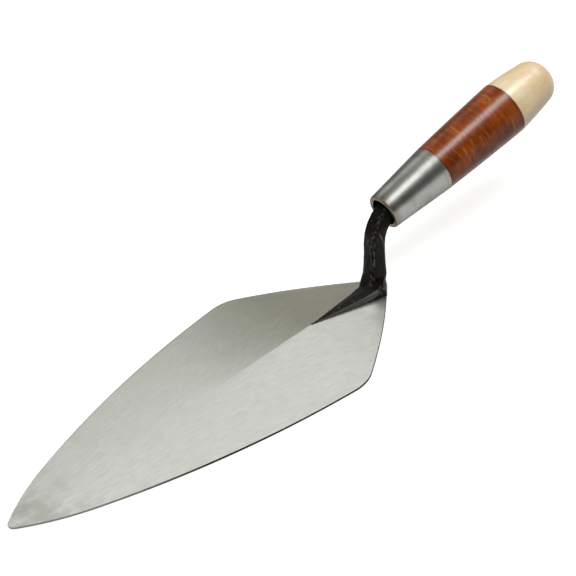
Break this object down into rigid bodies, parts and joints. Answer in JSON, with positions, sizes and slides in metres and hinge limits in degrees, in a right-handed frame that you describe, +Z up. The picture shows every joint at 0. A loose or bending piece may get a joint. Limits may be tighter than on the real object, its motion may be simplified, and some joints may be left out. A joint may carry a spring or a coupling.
{
  "type": "brick trowel",
  "caption": "Pointed brick trowel with a one-piece forged blade and shank, a steel ferrule and a stacked leather grip with a rounded wooden butt.",
  "frame": {"origin": "heel end of the blade on its centre line, on the flat underside", "axes": "+X from the blade towards the handle, +Y to the left of someone who looks from the tip towards the handle, +Z up out of the blade's top face"},
  "size_m": [0.4185, 0.1396, 0.0776],
  "materials": {
    "forged_steel": "brushed ground steel on the blade, black forging scale on the foot and shank",
    "polished_steel": "satin polished, turned lines round the ferrule",
    "stacked_leather": "lacquered russet edge leather, tone changing from washer to washer",
    "pale_hardwood": "lacquered pale hardwood, fine straight grain"
  },
  "bodies": {
    "root": {"blade_and_tang": "forged_steel", "ferrule": "polished_steel", "butt_and_core": "pale_hardwood", "leather_washer_01": "stacked_leather", "leather_washer_02": "stacked_leather", "leather_washer_03": "stacked_leather", "leather_washer_04": "stacked_leather", "leather_washer_05": "stacked_leather", "leather_washer_06": "stacked_leather", "leather_washer_07": "stacked_leather", "leather_washer_08": "stacked_leather", "leather_washer_09": "stacked_leather", "leather_washer_10": "stacked_leather", "leather_washer_11": "stacked_leather", "leather_washer_12": "stacked_leather", "leather_washer_13": "stacked_leather", "leather_washer_14": "stacked_leather", "leather_washer_15": "stacked_leather", "leather_washer_16": "stacked_leather", "leather_washer_17": "stacked_leather", "leather_washer_18": "stacked_leather"}
  },
  "joints": []
}
